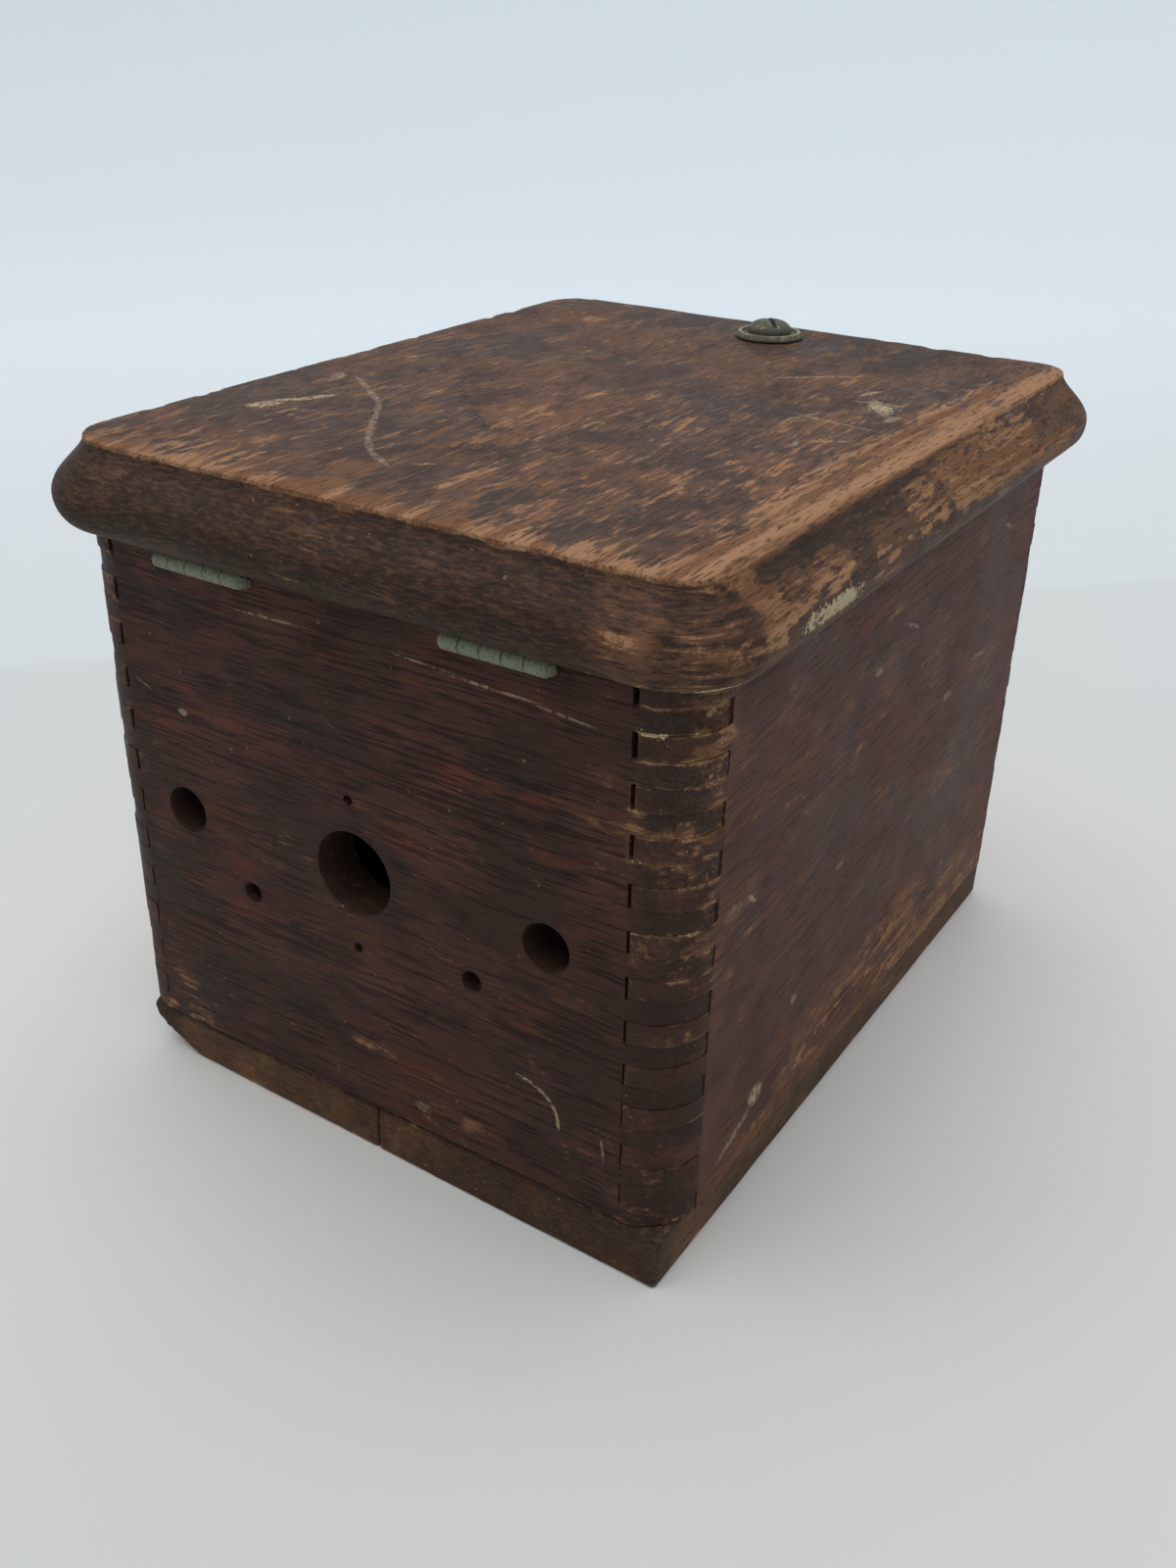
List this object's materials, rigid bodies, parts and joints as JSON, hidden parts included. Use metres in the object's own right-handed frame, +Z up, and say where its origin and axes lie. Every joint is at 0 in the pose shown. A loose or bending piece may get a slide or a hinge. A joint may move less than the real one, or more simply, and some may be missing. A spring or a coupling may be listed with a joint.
{
  "type": "wooden instrument box",
  "caption": "Finger-jointed wooden box on a two-board base, with a hinged moulded lid held shut by a captive screw, and holes bored through the hinge-side wall.",
  "frame": {"origin": "on the surface the box stands on, below the middle of its lid", "axes": "+Z up; -Y is the front, the wall with the hinges and the bored holes; +X is to the right seen from the front"},
  "size_m": [0.209, 0.258, 0.1978],
  "materials": {
    "wall_oak": "dark red-brown stained oak, worn satin",
    "lid_oak": "dark stained oak, stain rubbed through to tan on the edges",
    "base_oak": "dusty brown stained oak, matt",
    "hinge_brass": "grey-green oxidised brass, matt",
    "cover_brass": "brown-green tarnished brass, dull",
    "bracket_brass": "tarnished brass, dull",
    "old_steel": "darkened steel, dull"
  },
  "bodies": {
    "box": {"back_wall": "wall_oak", "base_board_left": "base_oak", "base_board_right": "base_oak", "base_screw_1": "old_steel", "base_screw_2": "old_steel", "base_screw_3": "old_steel", "base_screw_4": "old_steel", "base_screw_5": "old_steel", "base_screw_6": "old_steel", "base_screw_7": "old_steel", "base_screw_8": "old_steel", "catch_bracket": "bracket_brass", "catch_screw_left": "bracket_brass", "catch_screw_right": "bracket_brass", "front_wall": "wall_oak", "hinge_left_pin": "hinge_brass", "hinge_left_wall_leaf": "hinge_brass", "hinge_left_wall_screw_a": "hinge_brass", "hinge_left_wall_screw_b": "hinge_brass", "hinge_right_pin": "hinge_brass", "hinge_right_wall_leaf": "hinge_brass", "hinge_right_wall_screw_a": "hinge_brass", "hinge_right_wall_screw_b": "hinge_brass", "left_wall": "wall_oak", "right_wall": "wall_oak"},
    "lid": {"cup_washer": "cover_brass", "hinge_left_lid_leaf": "hinge_brass", "hinge_left_lid_screw_a": "hinge_brass", "hinge_left_lid_screw_b": "hinge_brass", "hinge_right_lid_leaf": "hinge_brass", "hinge_right_lid_screw_a": "hinge_brass", "hinge_right_lid_screw_b": "hinge_brass", "lid_panel": "lid_oak"},
    "collar": {"screw_collar": "old_steel"},
    "screw": {"cover_screw": "cover_brass"}
  },
  "joints": [
    {"name": "lid_hinge", "type": "hinge", "parent": "box", "child": "lid", "pos_m": [0, -0.1221, 0.1663], "axis": [1, 0, 0], "range_deg": [0, 150]},
    {"name": "screw_lift", "type": "slide", "parent": "lid", "child": "collar", "axis": [0, 0, 1], "range_m": [0, 0.00635]},
    {"name": "screw_turn", "type": "hinge", "parent": "collar", "child": "screw", "pos_m": [-0.0015, 0.099, 0.1919], "axis": [0, 0, 1], "range_deg": [0, 1800]}
  ],
  "couplings": [
    {"joint": "screw_turn", "follows": "screw_lift", "rad_per_m": 4947.4}
  ]
}
